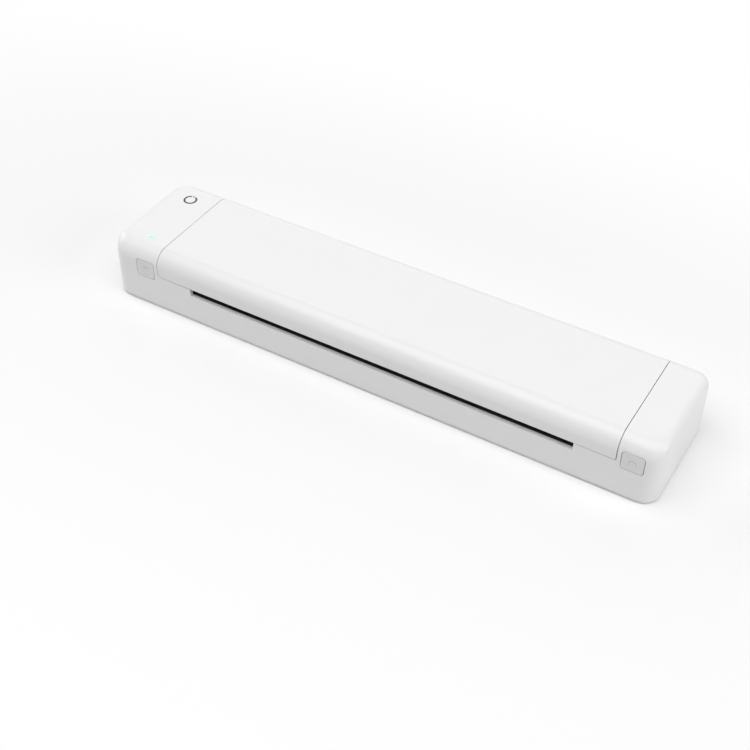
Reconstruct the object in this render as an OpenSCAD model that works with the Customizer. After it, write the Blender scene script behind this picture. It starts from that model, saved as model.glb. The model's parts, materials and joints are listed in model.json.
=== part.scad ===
// Portable thermal printer for A4 sheets: a slim bar with a lid that is hinged at the rear.
// X runs along the case, Y points to the rear and Z points up.
// The origin is the middle of the footprint, on the surface that the case stands on.

/* [Case] */
// Length of the case
case_length = 318; // [314:1:330]
// Depth of the case from front to rear
case_depth = 68; // [68:0.5:72]
// Height of the case above the table
case_height = 36; // [36:0.5:39]
// Wall of the mouldings
wall = 2.2; // [1.9:0.1:2.4]
// Rounding of the long edges on top
edge_r = 9; // [8.5:0.25:10]
// Rounding of the short edges on top
end_edge_r = 4.6; // [3.5:0.1:6]
// Rounding of the upright corners
corner_r = 8.8; // [7.5:0.1:10]
// Length of the left end block
left_block = 31; // [31:0.25:33]
// Length of the right end block
right_block = 21.4; // [21.4:0.1:24]
// Gap of the seam round the cover
seam = 0.4; // [0.3:0.05:0.45]

/* [Feet and bottom] */
// Height of the case above the table, which the feet make
foot_rise = 0.5; // [0.4:0.1:1]
// Radius of a rubber foot
foot_r = 5; // [4:0.25:5.5]
// Thickness of the bottom cover
floor_t = 2.1; // [1.8:0.1:2.4]
// Height of the bottom cover's edge that shows below the housing
rim_h = 1.4; // [1.3:0.1:1.8]

/* [Paper path] */
// Distance from a seam to the end of the paper slot
slot_margin = 21.5; // [20.8:0.1:24]
// Height of the paper slot
slot_height = 4.8; // [4.6:0.1:5.2]
// Height of the slot's floor above the table
slot_floor = 17.4; // [17.4:0.1:18]
// Thickness of the deck under the paper
deck_t = 2; // [1.6:0.1:2.2]

/* [Platen and print head] */
// Radius of the rubber roller
platen_r = 6; // [5.6:0.1:6.2]
// Distance from the end of the paper slot to the end of the rubber roller
platen_play = 2.8; // [2.3:0.1:6]
// Radius of the roller's steel shaft
shaft_r = 2.5; // [2:0.1:2.6]
// Distance of the roller's axis in front of the middle
platen_front = 4; // [3.6:0.1:4.2]
// Gap between the roller and the heating line
nip_gap = 0.3; // [0.25:0.05:0.4]
// Number of springs that press the head down
head_spring_count = 3; // [2:1:4]

/* [Gears] */
// Module of all teeth
gear_module = 0.5; // [0.48:0.01:0.51]
// Teeth of the gear on the roller
platen_teeth = 32; // [30:1:33]
// Teeth of the compound gear's small wheel
small_teeth = 16; // [16:1:18]
// Teeth of the compound gear's large wheel
large_teeth = 42; // [40:1:43]
// Teeth of the motor pinion
pinion_teeth = 14; // [13:1:15]

/* [Release buttons] */
// Width of a release button
button_width = 11.2; // [10:0.1:11.4]
// Height of a release button
button_height = 10.3; // [9:0.1:10.6]
// Rounding of a button's corners
button_r = 1.6; // [1.2:0.1:3]
// Travel of a button
button_travel = 2; // [1.6:0.1:2.1]
// Gap round a button
button_gap = 0.3; // [0.15:0.05:0.35]

/* [Electronics] */
// Length of the battery pack
battery_length = 126; // [90:1:128]
// Length of the main board
board_length = 216; // [190:1:225]
// Thickness of the circuit boards
board_t = 1.4; // [1:0.1:1.6]
// Width of the cable socket's opening
port_width = 9; // [8.9:0.1:9.4]
// Height of the cable socket's opening
port_height = 3.3; // [3.2:0.1:3.6]

/* [Hidden] */
$fn = 64;

// Amount by which a cut runs past the face that it opens
over = 1;
// Thickness of the slices that a rounded form is hulled from
slice_t = 0.01;
// Radial clearance of a fixed pin in its hole, and of a shaft that turns
fixed_fit = 0.02;
running_fit = 0.05;
// Gap between pieces that are mounted face to face
seat = 0.1;

// Faces of the case
left_x = -case_length / 2;
right_x = case_length / 2;
front_y = -case_depth / 2;
rear_y = case_depth / 2;
in_front = front_y + wall;
in_rear = rear_y - wall;
in_left = left_x + wall;
in_right = right_x - wall;
ceiling = case_height - wall;
floor_top = foot_rise + floor_t;
base_z = foot_rise + rim_h;
part_gap = 0.2;

// Seams and the middle of the cover
seam_left = left_x + left_block;
seam_right = right_x - right_block;
mid_x = (seam_left + seam_right) / 2;
half_bay = (seam_right - seam_left) / 2;
slot_width = 2 * (half_bay - slot_margin);
cheek_t = 1.6;
cheek_in = seam_left - cheek_t;
lip_z = slot_floor + slot_height;
lip_corner_r = 2.5;

// Hinge of the cover
hinge_y = rear_y - 6;
hinge_z = case_height - 9;
hinge_pin_r = 1.5;
hinge_boss_r = 4.2;
hinge_boss_length = 7;
hinge_socket_length = 4;

// Screws: one small size for all, with its boss
screw_r = 1;
screw_head_r = 1.9;
screw_head_h = 1;
boss_r = 2.8;
boss_y = in_rear - boss_r + 0.4;
case_boss_inset = 9;
case_screw_at = [
    [left_x + case_boss_inset, -boss_y], [right_x - case_boss_inset, -boss_y], [mid_x, -boss_y],
    [seam_left + 8, boss_y], [right_x - case_boss_inset, boss_y], [mid_x, boss_y]
];
case_screw_length = 9;
deck_boss_x = slot_width / 2 + 4.7;
deck_screw_at = [for (x = [-deck_boss_x, deck_boss_x], y = [-boss_y, boss_y]) [mid_x + x, y]];
deck_screw_length = 8;

// Paper path, from the slot's floor up to the head
deck_top = slot_floor - 0.2;
deck_under = deck_top - deck_t;
nip_rise = 2.1;
platen_top = slot_floor + nip_rise;
platen_y = -platen_front;
platen_z = platen_top - platen_r;
trough_r = platen_r + 1;
trough_wall = 1.6;
trough_lip = platen_top - 0.9;
platen_length = slot_width - 2 * platen_play;
bearing_x = slot_width / 2 + 1;
bearing_t = 3;
bushing_r = 4;

// Gear train in the left block: two planes of wheels between the cheek and the bracket
gear_face = 3.8;
wheel_face = 3.5;
plane_a = cheek_in - 0.8;
plane_b = plane_a - gear_face - 0.7;
bracket_t = 1.2;
bracket_x = plane_b - wheel_face - 1;
axle_r = 1.5;
pressure_angle = 20;
idler_angle = 20;
motor_angle = -15;
idler_yz = polar([platen_y, platen_z], centre_distance(platen_teeth, small_teeth), idler_angle);
motor_yz = polar(idler_yz, centre_distance(large_teeth, pinion_teeth), motor_angle);
large_tip_r = gear_module * (large_teeth / 2 + 1);
motor_r = 9;
motor_length = 12.4;
motor_flange_t = 0.8;
motor_pilot_r = 3;
motor_shaft_r = 1;
post_r = 1.9;
post_clear = 0.4;
bracket_post_at = [
    polar(idler_yz, large_tip_r + post_r + post_clear, 134),
    polar(idler_yz, large_tip_r + post_r + post_clear, 296),
    polar(motor_yz, motor_r + screw_head_r + 1.6, 82.5)
];
motor_ear_at = [for (a = [50, 205]) polar(motor_yz, motor_r + 2, a)];

// Release mechanism, drawn for the left side and mirrored for the right
button_x = seam_left - 7.9;
button_drop = 12.15;
button_z = case_height - button_drop;
button_depth = 3.8;
dish_r = 6;
dish_depth = 0.9;
flange_t = 1.4;
flange_extra = 1;
flange_top = 0.3;
stem_w = 5.2;
stem_z = button_z + 1.65;
stem_end_y = front_y + 18;
shelf_y = stem_end_y + 8;
arm_z = slot_floor + 1.8;
arm_h = 2.6;
arm_d = 4;
arm_y = front_y + 11.6;
catch_t = 3.85;
catch_y = front_y + 6;
catch_d = 2;
catch_reach = 1.8;
hook_miss = 0.3;

// Print head
head_z = platen_top + nip_gap;
bead_h = 0.2;
substrate_t = 1;
substrate_z = head_z + bead_h;
sink_z = substrate_z + substrate_t;
sink_t = 2.4;
sink_front = platen_y - 9;
sink_rear = platen_y + 15;
sink_half = slot_width / 2 + 0.7;
lug_t = 1.4;
pivot_y = sink_rear - 2;
pivot_z = sink_z + 3;
pivot_r = 1.5;

// Frame inside the cover
frame_half = half_bay - 7.4;
frame_z = lip_z + 0.2;
frame_t = 1.8;
frame_top = frame_z + frame_t;
frame_front = in_front + 0.5;
frame_rear = hinge_y - 3.5;
window_half = sink_half + lug_t + 0.5;
window_front = sink_front - 1.2;
window_rear = sink_rear + 2;
rib_t = 1.6;
bridge_t = 2;
bridge_w = 12;
bridge_z = ceiling - 0.3 - bridge_t;
spring_y = platen_y - 2;
spring_r = 2.6;
spring_wire_r = 0.35;
spring_span = 160;
frame_screw_x = frame_half - 25.4;
frame_screw_at = [for (x = [-frame_screw_x, frame_screw_x], y = [in_front + 9.8, frame_rear - 5]) [mid_x + x, y]];
frame_screw_length = 7;

// Electronics under the deck and in the left block
board_left = in_left + 0.6;
board_front = -boss_y + boss_r + 0.6;
board_rear = platen_y - 9.6;
board_z = floor_top + 2.7;
board_top = board_z + board_t;
board_screw_at = [for (x = [16, 96, board_length - 10]) [board_left + x, board_rear - 3.4]];
board_screw_length = 3.5;
plug_rear = board_rear - 1;
plug_d = 3.4;
cable_t = 0.6;
cable_z = floor_top + 0.7;
port_y = board_front + 6.2;
port_z = board_top + 1.6;
port_depth = 7.3;
touch_plug = [board_left + 6.8, board_front + 2.2];
battery_inset = 11.6;
battery_x = seam_right - battery_inset - battery_length;
battery_front = platen_y + trough_r + trough_wall + 1.9;
battery_rear = boss_y - boss_r - 1.1;
battery_z = floor_top + 0.2;
battery_h = 9.8;
touch_board_z = ceiling - 3.5;
touch_board_top = touch_board_z + board_t;
touch_board_left = in_left + 4.8;
touch_board_right = seam_left - 5.5;
touch_board_front = front_y + 11;
touch_board_rear = rear_y - 10;
touch_screw_at = [for (y = [-10, 10]) [in_left + 8.8, y]];
mark_at = [left_x + 16.35, rear_y - 16.7];
mark_r = 3.9;
mark_line = 1.1;
mark_depth = 0.3;
light_at = [left_x + 19.1, front_y + 12.4];
light_r = 1.3;

// Head cable, which crosses from the cover into the base beside the paper
cable_x = mid_x - half_bay + 8.5;
cable_w = 7.5;
cable_y = hinge_y - 10;
fpc_x = mid_x - sink_half + 0.4;
fpc_z = frame_top + 5.25;
fpc_t = 0.3;
sensor_x = mid_x - 70;
cover_sensor_x = mid_x + deck_boss_x + 3.5;
cover_sensor_y = platen_y + 15;

// Point at a distance and an angle from another
function polar(from, d, a) = [from[0] + d * cos(a), from[1] + d * sin(a)];
// Distance between the axes of two meshed wheels
function centre_distance(n1, n2) = gear_module * (n1 + n2) / 2;
// How far a rounded edge of radius r stands back at a depth below its top
function stand_back(r, depth) = depth >= r ? 0 : r - sqrt(r * r - pow(r - depth, 2));
// Involute function of the pressure angle at a radius, in degrees
function involute(base, r) = let (t = sqrt(max(0, pow(r / base, 2) - 1))) t * 180 / PI - atan(t);

// Outline of a spur gear with one tooth at angle zero
function gear_points(teeth) =
    let (
        pitch_r = gear_module * teeth / 2,
        base_r = pitch_r * cos(pressure_angle),
        tip_r = pitch_r + gear_module,
        root_r = pitch_r - 1.25 * gear_module,
        start_r = max(base_r, root_r),
        backlash = 0.03 * 180 / PI / pitch_r,
        half = 90 / teeth + involute(base_r, pitch_r) - backlash,
        radii = [start_r, (start_r + tip_r) / 2, tip_r],
        flank = [for (r = radii) [r, half - involute(base_r, r)]],
        tooth = concat([[root_r, half]], flank)
    )
    [for (i = [0 : teeth - 1])
        let (mid = 360 * i / teeth)
        each concat(
            [for (p = tooth) polar([0, 0], p[0], mid - p[1])],
            [for (k = [len(tooth) - 1 : -1 : 0]) polar([0, 0], tooth[k][0], mid + tooth[k][1])]
        )
    ];

// Closed outline of a strip of constant thickness along a path
function strip_points(path, t) =
    let (
        n = len(path),
        dirs = [for (i = [0 : n - 1]) let (d = path[min(i + 1, n - 1)] - path[max(i - 1, 0)]) d / norm(d)],
        side = [for (d = dirs) [-d[1], d[0]] * t / 2]
    )
    concat([for (i = [0 : n - 1]) path[i] + side[i]], [for (i = [n - 1 : -1 : 0]) path[i] - side[i]]);

// Rings of a coil along Z, whose ends stand up straight for one wire diameter
function coil_rings(length, r, wire_r, turns) =
    let (
        tail = 2 * wire_r,
        steps = 8 * turns,
        rise = length - 2 * tail
    )
    concat(
        [[r, 0, 0, 0]],
        [for (i = [0 : steps]) [r, 360 * i / 8, tail + rise * i / steps, 1]],
        [[r, 360 * turns, length, 0]]
    );

// Least clear gap between the turns of a coil, measured on the middles of its rings
function coil_gap(length, r, wire_r, turns) =
    let (
        mids = [for (g = coil_rings(length, r, wire_r, turns)) [g[0] * cos(g[1]), g[0] * sin(g[1]), g[2]]],
        last = len(mids) - 1
    )
    min([for (i = [0 : last - 5], j = [i + 5 : last]) norm(mids[i] - mids[j])]) - 2 * wire_r;

// Lays a 2D shape drawn in Y and Z out along X
module along_x(x0, x1) {
    translate([x0, 0, 0]) rotate([90, 0, 90]) linear_extrude(x1 - x0) children();
}

// Lays a 2D shape drawn in X and Z out along Y
module along_y(y0, y1) {
    translate([0, y1, 0]) rotate([90, 0, 0]) linear_extrude(y1 - y0) children();
}

// Slot shape with round ends, centred on the origin
module stadium(w, h) {
    translate([-(w - h) / 2, -h / 2]) square([w - h, h]);
    for (x = [-(w - h) / 2, (w - h) / 2]) {
        translate([x, 0]) circle(h / 2);
    }
}

module along_z(z0, z1) {
    translate([0, 0, z0]) linear_extrude(z1 - z0) children();
}

// Box from its lowest to its highest corner
module span_box(low, high) {
    translate(low) cube(high - low);
}

module rod_x(x0, x1, yz, r) {
    along_x(x0, x1) translate(yz) circle(r);
}

module rod_z(z0, z1, xy, r) {
    along_z(z0, z1) translate(xy) circle(r);
}

// Rounded rectangle from its lowest to its highest corner
module round_rect(low, high, r) {
    translate([low[0] + r, low[1]]) square([high[0] - low[0] - 2 * r, high[1] - low[1]]);
    translate([low[0], low[1] + r]) square([high[0] - low[0], high[1] - low[1] - 2 * r]);
    for (x = [low[0] + r, high[0] - r], y = [low[1] + r, high[1] - r]) {
        translate([x, y]) circle(r);
    }
}

// Copies its children and their mirror image in the middle plane of the cover
module both_sides() {
    children();
    other_side() children();
}

module other_side() {
    translate([2 * mid_x, 0, 0]) mirror([1, 0, 0]) children();
}

// Screw with a cross recess, its head's top at the origin and its shank down
module screw(length) {
    difference() {
        union() {
            rod_z(-screw_head_h, 0, [0, 0], screw_head_r);
            rod_z(-length, -screw_head_h, [0, 0], screw_r);
        }
        for (a = [0, 90]) {
            rotate(a) translate([-1, -0.25, -0.6]) cube([2, 0.5, over]);
        }
    }
}

// Layer of a rounded form between two heights
module layer(z0, z1, length, depth, r) {
    along_z(z0, z1) round_rect([-length / 2, -depth / 2], [length / 2, depth / 2], r, $fn = 40);
}

// The case's rounded form, drawn in from its outer face, down to the height z0
module case_form(inset, z0) {
    r = edge_r - inset;
    end_r = end_edge_r - inset;
    turn = acos(1 - end_r / r);
    depths = concat(
        [for (i = [0 : 6]) end_r * (1 - cos(90 * i / 6))],
        [for (i = [1 : 4]) r * (1 - cos(turn + (90 - turn) * i / 5))]
    );
    length = case_length - 2 * inset;
    depth = case_depth - 2 * inset;
    hull() {
        for (d = depths) {
            side = stand_back(end_r, d);
            top = case_height - inset - d;
            layer(top - slice_t, top, length - 2 * side, depth - 2 * stand_back(r, d), corner_r - inset - side);
        }
        layer(z0, case_height - inset - r, length, depth, corner_r - inset);
    }
}

// Section of the case across its length, drawn in from its outer face
module case_section(inset, z0) {
    r = edge_r - inset;
    top = case_height - inset;
    half = case_depth / 2 - inset;
    translate([-half, z0]) square([2 * half, top - r - z0]);
    translate([-half + r, z0]) square([2 * half - 2 * r, top - z0]);
    intersection() {
        for (y = [-half + r, half - r]) {
            translate([y, top - r]) circle(r);
        }
        translate([-half, top - r - slice_t]) square([2 * half, r + over]);
    }
}

// Front outline of the cover, with its lower left corner rounded
module lip_outline(x0, x1, z0, r) {
    difference() {
        translate([x0, z0]) square([x1 - x0, case_height]);
        translate([x0, z0]) difference() {
            square([r, r]);
            translate([r, r]) circle(r);
        }
    }
}

// The housing's upright walls beside the cover
module cheeks() {
    both_sides() along_x(cheek_in, seam_left) case_section(wall / 2, floor_top + seat);
}

// Screw boss that stands against the front or rear wall
module wall_boss(at, z1) {
    rod_z(floor_top + seat, z1, at, boss_r);
    web_y = at[1] > 0 ? [at[1], in_rear + 0.4] : [in_front - 0.4, at[1]];
    span_box([at[0] - 1, web_y[0], floor_top + seat], [at[0] + 1, web_y[1], z1]);
}

module housing_solids() {
    difference() {
        case_form(0, base_z);
        case_form(wall, base_z - over);
    }
    cheeks();
    for (p = case_screw_at) {
        wall_boss(p, deck_under - 0.4);
    }
    for (p = deck_screw_at) {
        wall_boss(p, deck_under);
    }
    for (p = bracket_post_at) {
        rod_x(bracket_x, cheek_in + 0.5, p, post_r);
    }
    for (p = touch_screw_at) {
        rod_z(touch_board_top, ceiling + 0.5, p, 2.2);
    }
    both_sides() {
        rod_x(cheek_in - hinge_socket_length, cheek_in + 0.5, [hinge_y, hinge_z], hinge_boss_r);
        release_shelf();
    }
}

// Shelf on the cheek that the release spring pushes against
module release_shelf() {
    low = [button_x - stem_w / 2 - 0.5, shelf_y, platen_top + 3.1];
    span_box(low, [cheek_in + 0.5, shelf_y + 1.6, stem_z + stem_w / 2 + 0.5]);
}

// Where the housing is open for the cover
module cover_opening() {
    rear_outer = lip_z - 1;
    rear_inner = lip_z - 2.2;
    along_x(seam_left, seam_right) polygon([
        [in_front - slice_t, lip_z - seam], [0, lip_z - seam], [0, rear_inner], [in_rear, rear_inner],
        [rear_y, rear_outer], [rear_y + over, rear_outer], [rear_y + over, case_height + over],
        [in_front - slice_t, case_height + over]
    ]);
    along_y(front_y - over, in_front) {
        lip_outline(seam_left, seam_right, lip_z - seam, lip_corner_r + seam);
    }
}

// Slots that the sheet goes out and comes in through
module slot_windows() {
    for (y = [[front_y - over, in_front + over], [in_rear - over, rear_y + over]]) {
        span_box([mid_x - slot_width / 2, y[0], slot_floor], [mid_x + slot_width / 2, y[1], lip_z]);
    }
}

module button_outline(grow) {
    w = button_width / 2 + grow;
    h = button_height / 2 + grow;
    round_rect([button_x - w, button_z - h], [button_x + w, button_z + h], button_r + grow);
}

// Openings beside the cover that are the same on both sides
module side_openings() {
    along_y(front_y - over, in_front + over / 2) button_outline(button_gap);
    rod_x(cheek_in - hinge_socket_length + 0.2, seam_left + over, [hinge_y, hinge_z], hinge_pin_r + fixed_fit);
    span_box(
        [cheek_in - over, arm_y - 0.5, arm_z - 0.5],
        [seam_left + over, arm_y + arm_d + button_travel + 0.6, arm_z + arm_h + 0.5]
    );
}

module housing() {
    color("white") difference() {
        housing_solids();
        cover_opening();
        slot_windows();
        both_sides() side_openings();
        rod_x(cheek_in - over, seam_left + over, [platen_y, platen_z], shaft_r + 1);
        rod_x(cheek_in - over, cheek_in + 1, idler_yz, axle_r + fixed_fit);
        span_box([cheek_in - over, board_front - 0.5, base_z - over], [seam_left + over, board_rear + 0.5, deck_under]);
        along_x(left_x - over, in_left + over) translate([port_y, port_z]) stadium(port_width, port_height);
        power_mark_form(case_height - mark_depth, case_height + over, fixed_fit);
        rod_z(ceiling - over, case_height + over, light_at, light_r + fixed_fit);
        screw_holes();
    }
}

// Blind holes for the screws that go into the housing
module screw_holes() {
    for (p = case_screw_at) {
        rod_z(floor_top - over, floor_top + case_screw_length, p, screw_r + fixed_fit);
    }
    for (p = deck_screw_at) {
        rod_z(deck_under - deck_screw_length, deck_under + over, p, screw_r + fixed_fit);
    }
    for (p = bracket_post_at) {
        rod_x(bracket_x - over, bracket_x + 5, p, screw_r + fixed_fit);
    }
    for (p = touch_screw_at) {
        rod_z(touch_board_top - over, ceiling, p, screw_r + fixed_fit);
    }
}

// Ring with a gap to the rear and a dot in the gap, the common sign for power
module power_mark_form(z0, z1, grow) {
    translate([mark_at[0], mark_at[1], 0]) {
        difference() {
            rod_z(z0, z1, [0, 0], mark_r + grow);
            rod_z(z0 - over, z1 + over, [0, 0], mark_r - mark_line - grow);
            span_box([-1.2 + grow, 0, z0 - over], [1.2 - grow, mark_r + over, z1 + over]);
        }
        rod_z(z0, z1, [0, mark_r - mark_line / 2], mark_line / 2 + grow);
    }
}

module power_mark() {
    color("dimgray") power_mark_form(case_height - mark_depth, case_height, 0);
}

module status_light_pipe() {
    color("aquamarine") {
        rod_z(touch_board_top + 1, ceiling, light_at, light_r + 0.8);
        rod_z(ceiling, case_height, light_at, light_r);
    }
}

// Bottom plate, whose edge shows as a thin line below the housing
module bottom_cover() {
    foot_depth = 0.5;
    color("white") difference() {
        union() {
            bottom_plate();
            along_z(base_z - over / 2, floor_top) round_rect(
                [in_left + 0.2, in_front + 0.2], [in_right - 0.2, in_rear - 0.2], corner_r - wall
            );
            for (p = board_screw_at) {
                rod_z(floor_top - over, board_z, p, 2.4);
            }
            battery_stops();
        }
        for (p = foot_at()) {
            rod_z(foot_rise - over, foot_rise + foot_depth, p, foot_r + 0.1);
        }
        for (p = case_screw_at) {
            rod_z(foot_rise - over, foot_rise + screw_head_h + 0.1, p, screw_head_r + 0.1);
            rod_z(foot_rise, floor_top + over, p, screw_r + 0.1);
        }
        for (p = board_screw_at) {
            rod_z(floor_top - 0.5, board_z + over, p, screw_r + fixed_fit);
        }
    }
}

// Plate with a softened lower edge
module bottom_plate() {
    soft = 1;
    steps = 4;
    hull() {
        for (i = [0 : steps - 1]) {
            in = soft * (1 - sin(90 * i / steps));
            z = foot_rise + soft * (1 - cos(90 * i / steps));
            layer(z, z + slice_t, case_length - 2 * in, case_depth - 2 * in, corner_r - in);
        }
        layer(foot_rise + soft, base_z - part_gap, case_length, case_depth, corner_r);
    }
}

// Ribs on the bottom plate that hold the battery's two ends
module battery_stops() {
    stop_t = 1.4;
    for (x = [battery_x - 3.6 - stop_t, battery_x + battery_length + 0.2]) {
        span_box([x, battery_front + 2, floor_top - over], [x + stop_t, battery_rear - 2, floor_top + 4]);
    }
}

function foot_at() =
    let (x = case_length / 2 - corner_r - foot_r - 8, y = case_depth / 2 - foot_r - 3)
    [for (i = [-1, 1], j = [-1, 1]) [x * i, y * j]];

module rubber_feet() {
    color("dimgray") for (p = foot_at()) {
        rod_z(0, foot_rise + 0.5, p, foot_r);
    }
}

module case_screws() {
    color("silver") for (p = case_screw_at) {
        translate([p[0], p[1], foot_rise + 0.1]) mirror([0, 0, 1]) screw(case_screw_length);
    }
}

// Section of the deck: a paper table with a half-round trough for the roller
module deck_section() {
    edge = in_rear - 0.2;
    lip_half = sqrt(pow(trough_r, 2) - pow(trough_lip - platen_z, 2));
    ramp = 5;
    difference() {
        union() {
            translate([-edge, deck_under]) square([2 * edge, deck_t]);
            translate([platen_y, platen_z]) circle(trough_r + trough_wall);
            polygon([
                [platen_y - lip_half - ramp, deck_under], [platen_y - lip_half - ramp, deck_top],
                [platen_y - lip_half, trough_lip], [platen_y + lip_half, trough_lip],
                [platen_y + lip_half + ramp, deck_top], [platen_y + lip_half + ramp, deck_under]
            ]);
        }
        translate([platen_y, platen_z]) circle(trough_r);
        translate([-edge, trough_lip]) square([2 * edge, trough_r]);
    }
}

// Plate across the trough that holds the roller's bushing
module bearing_plate() {
    along_x(mid_x - bearing_x - bearing_t, mid_x - bearing_x) difference() {
        union() {
            intersection() {
                translate([platen_y, platen_z]) circle(trough_r + 0.5);
                translate([platen_y - 20, platen_z - 20]) square([40, 20]);
            }
            translate([platen_y - trough_r + 0.4, platen_z - slice_t]) square([2 * trough_r - 0.8, bushing_r + 1.8]);
        }
        translate([platen_y, platen_z]) circle(bushing_r + fixed_fit);
    }
}

// Low ribs that the sheet slides on
module paper_ribs() {
    pitch = 18;
    rib_h = 0.3;
    for (i = [-6 : 6], y = [[in_front + 1, platen_y - 13], [platen_y + 12, in_rear - 1]]) {
        x = mid_x + pitch * i;
        span_box([x - 0.5, y[0], deck_top - 0.5], [x + 0.5, y[1], deck_top + rib_h]);
    }
}

module paper_deck() {
    end = half_bay - 0.3;
    color("dimgray") difference() {
        union() {
            along_x(mid_x - end, mid_x + end) deck_section();
            both_sides() bearing_plate();
            paper_ribs();
        }
        for (p = deck_screw_at) {
            rod_z(deck_top - screw_head_h, deck_top + over, p, screw_head_r + 0.1);
            rod_z(deck_under - over, deck_top, p, screw_r + 0.1);
        }
        both_sides() span_box(
            [seam_left + 0.8, catch_y - 1.2, deck_under - over],
            [seam_left + seam + 2 + catch_t + 1, catch_y + catch_d + catch_reach + 0.8, deck_top + over]
        );
        span_box(
            [cable_x - 0.4, cable_y - 0.8, deck_under - over],
            [cable_x + cable_w + 0.4, cable_y + 0.8, deck_top + over]
        );
        span_box([sensor_x - 4, platen_y + 13, deck_under - over], [sensor_x + 4, platen_y + 17, deck_top + over]);
    }
}

module deck_screws() {
    color("silver") for (p = deck_screw_at) {
        translate([p[0], p[1], deck_top]) screw(deck_screw_length);
    }
}

module hinge_pins() {
    color("silver") both_sides() {
        rod_x(cheek_in - hinge_socket_length + 0.4, seam_left + seam + hinge_boss_length - 0.6,
            [hinge_y, hinge_z], hinge_pin_r);
    }
}

// Flanged plain bearing for the roller's shaft
module platen_bushings() {
    flange = 0.8;
    out = mid_x - bearing_x - bearing_t;
    color("goldenrod") both_sides() difference() {
        union() {
            rod_x(out, out + bearing_t, [platen_y, platen_z], bushing_r);
            rod_x(out - flange, out, [platen_y, platen_z], bushing_r + 1);
        }
        rod_x(out - over, out + bearing_t + over, [platen_y, platen_z], shaft_r + running_fit);
    }
}

// Bar of a flat bracket between two points
module bar_2d(from, to, w) {
    d = to - from;
    translate(from) rotate(atan2(d[1], d[0])) translate([0, -w / 2]) square([norm(d), w]);
    translate(from) circle(w / 2);
    translate(to) circle(w / 2);
}

module gear_bracket() {
    arm = 4.6;
    color("lightsteelblue") difference() {
        along_x(bracket_x - bracket_t, bracket_x) {
            for (p = concat(bracket_post_at, motor_ear_at, [motor_yz])) {
                bar_2d(idler_yz, p, arm);
            }
            bar_2d(bracket_post_at[1], motor_ear_at[1], arm);
            bar_2d(bracket_post_at[2], motor_ear_at[0], arm);
            translate(motor_yz) circle(motor_pilot_r + 2.4);
        }
        rod_x(bracket_x - bracket_t - over, bracket_x + over, idler_yz, axle_r + fixed_fit);
        rod_x(bracket_x - bracket_t - over, bracket_x + over, motor_yz, motor_pilot_r + fixed_fit);
        for (p = concat(bracket_post_at, motor_ear_at)) {
            rod_x(bracket_x - bracket_t - over, bracket_x + over, p, screw_r + fixed_fit);
        }
    }
}

module bracket_screws() {
    color("silver") for (p = bracket_post_at) {
        translate([bracket_x - bracket_t - screw_head_h, p[0], p[1]]) rotate([0, -90, 0]) screw(6);
    }
}

module motor_screws() {
    x = bracket_x - bracket_t - motor_flange_t - screw_head_h;
    color("silver") for (p = motor_ear_at) {
        translate([x, p[0], p[1]]) rotate([0, -90, 0]) screw(screw_head_h + motor_flange_t + bracket_t + 0.2);
    }
}

// Can-stack stepper motor with two ears and a plug on its front side
module stepper_motor() {
    face = bracket_x - bracket_t;
    back = face - motor_flange_t - motor_length;
    color("silver") difference() {
        union() {
            rod_x(back, face - motor_flange_t, motor_yz, motor_r);
            rod_x(back + motor_length * 0.45, back + motor_length * 0.55, motor_yz, motor_r + 0.3);
            along_x(face - motor_flange_t, face) difference() {
                union() {
                    bar_2d(motor_yz, motor_ear_at[0], 4.4);
                    bar_2d(motor_yz, motor_ear_at[1], 4.4);
                    translate(motor_yz) circle(motor_r);
                }
                for (p = motor_ear_at) {
                    translate(p) circle(screw_r + fixed_fit);
                }
            }
            rod_x(face, bracket_x, motor_yz, motor_pilot_r);
            span_box([back + 3.5, motor_yz[0] - motor_r - 2.2, motor_yz[1] - 9],
                [back + 9.5, motor_yz[0] - motor_r + 3, motor_yz[1] - 5]);
        }
        rod_x(back + 3, bracket_x + over, motor_yz, motor_shaft_r + running_fit);
    }
}

module gear_axle() {
    color("silver") rod_x(bracket_x - bracket_t, cheek_in + 0.8, idler_yz, axle_r);
}

// Wheel between two heights along X, with one tooth at the given angle
module wheel(x0, x1, yz, teeth, angle, bore) {
    along_x(x0, x1) translate(yz) difference() {
        rotate(angle) polygon(gear_points(teeth));
        circle(bore);
    }
}

module hub(x0, x1, yz, r, bore) {
    along_x(x0, x1) translate(yz) difference() {
        circle(r);
        circle(bore);
    }
}

module platen_gear() {
    color("whitesmoke") {
        wheel(plane_a - gear_face, plane_a, [platen_y, platen_z], platen_teeth, idler_angle, shaft_r + fixed_fit);
        hub(plane_a, cheek_in - 0.3, [platen_y, platen_z], shaft_r + 1, shaft_r + fixed_fit);
    }
}

// Large and small wheel in one piece. Each meets its partner with a gap between two teeth.
module compound_gear() {
    bore = axle_r + running_fit;
    color("whitesmoke") {
        wheel(plane_a - gear_face, plane_a, idler_yz, small_teeth, idler_angle + 180 + 180 / small_teeth, bore);
        wheel(plane_b - wheel_face, plane_b, idler_yz, large_teeth, motor_angle, bore);
        hub(plane_b, plane_a - gear_face, idler_yz, axle_r + 1.6, bore);
        hub(plane_a, cheek_in - 0.3, idler_yz, axle_r + 1, bore);
        hub(bracket_x + 0.3, plane_b - wheel_face, idler_yz, axle_r + 1, bore);
    }
}

module motor_pinion() {
    color("gold") wheel(plane_b - wheel_face, plane_b, motor_yz, pinion_teeth,
        motor_angle + 180 + 180 / pinion_teeth, motor_shaft_r + fixed_fit);
}

module motor_shaft() {
    back = bracket_x - bracket_t - motor_flange_t - motor_length;
    color("silver") rod_x(back + 3.3, plane_b, motor_yz, motor_shaft_r);
}

module platen_shaft() {
    right_end = mid_x + bearing_x + bearing_t + 2;
    color("silver") rod_x(plane_a - gear_face - 0.2, right_end, [platen_y, platen_z], shaft_r);
}

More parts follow.
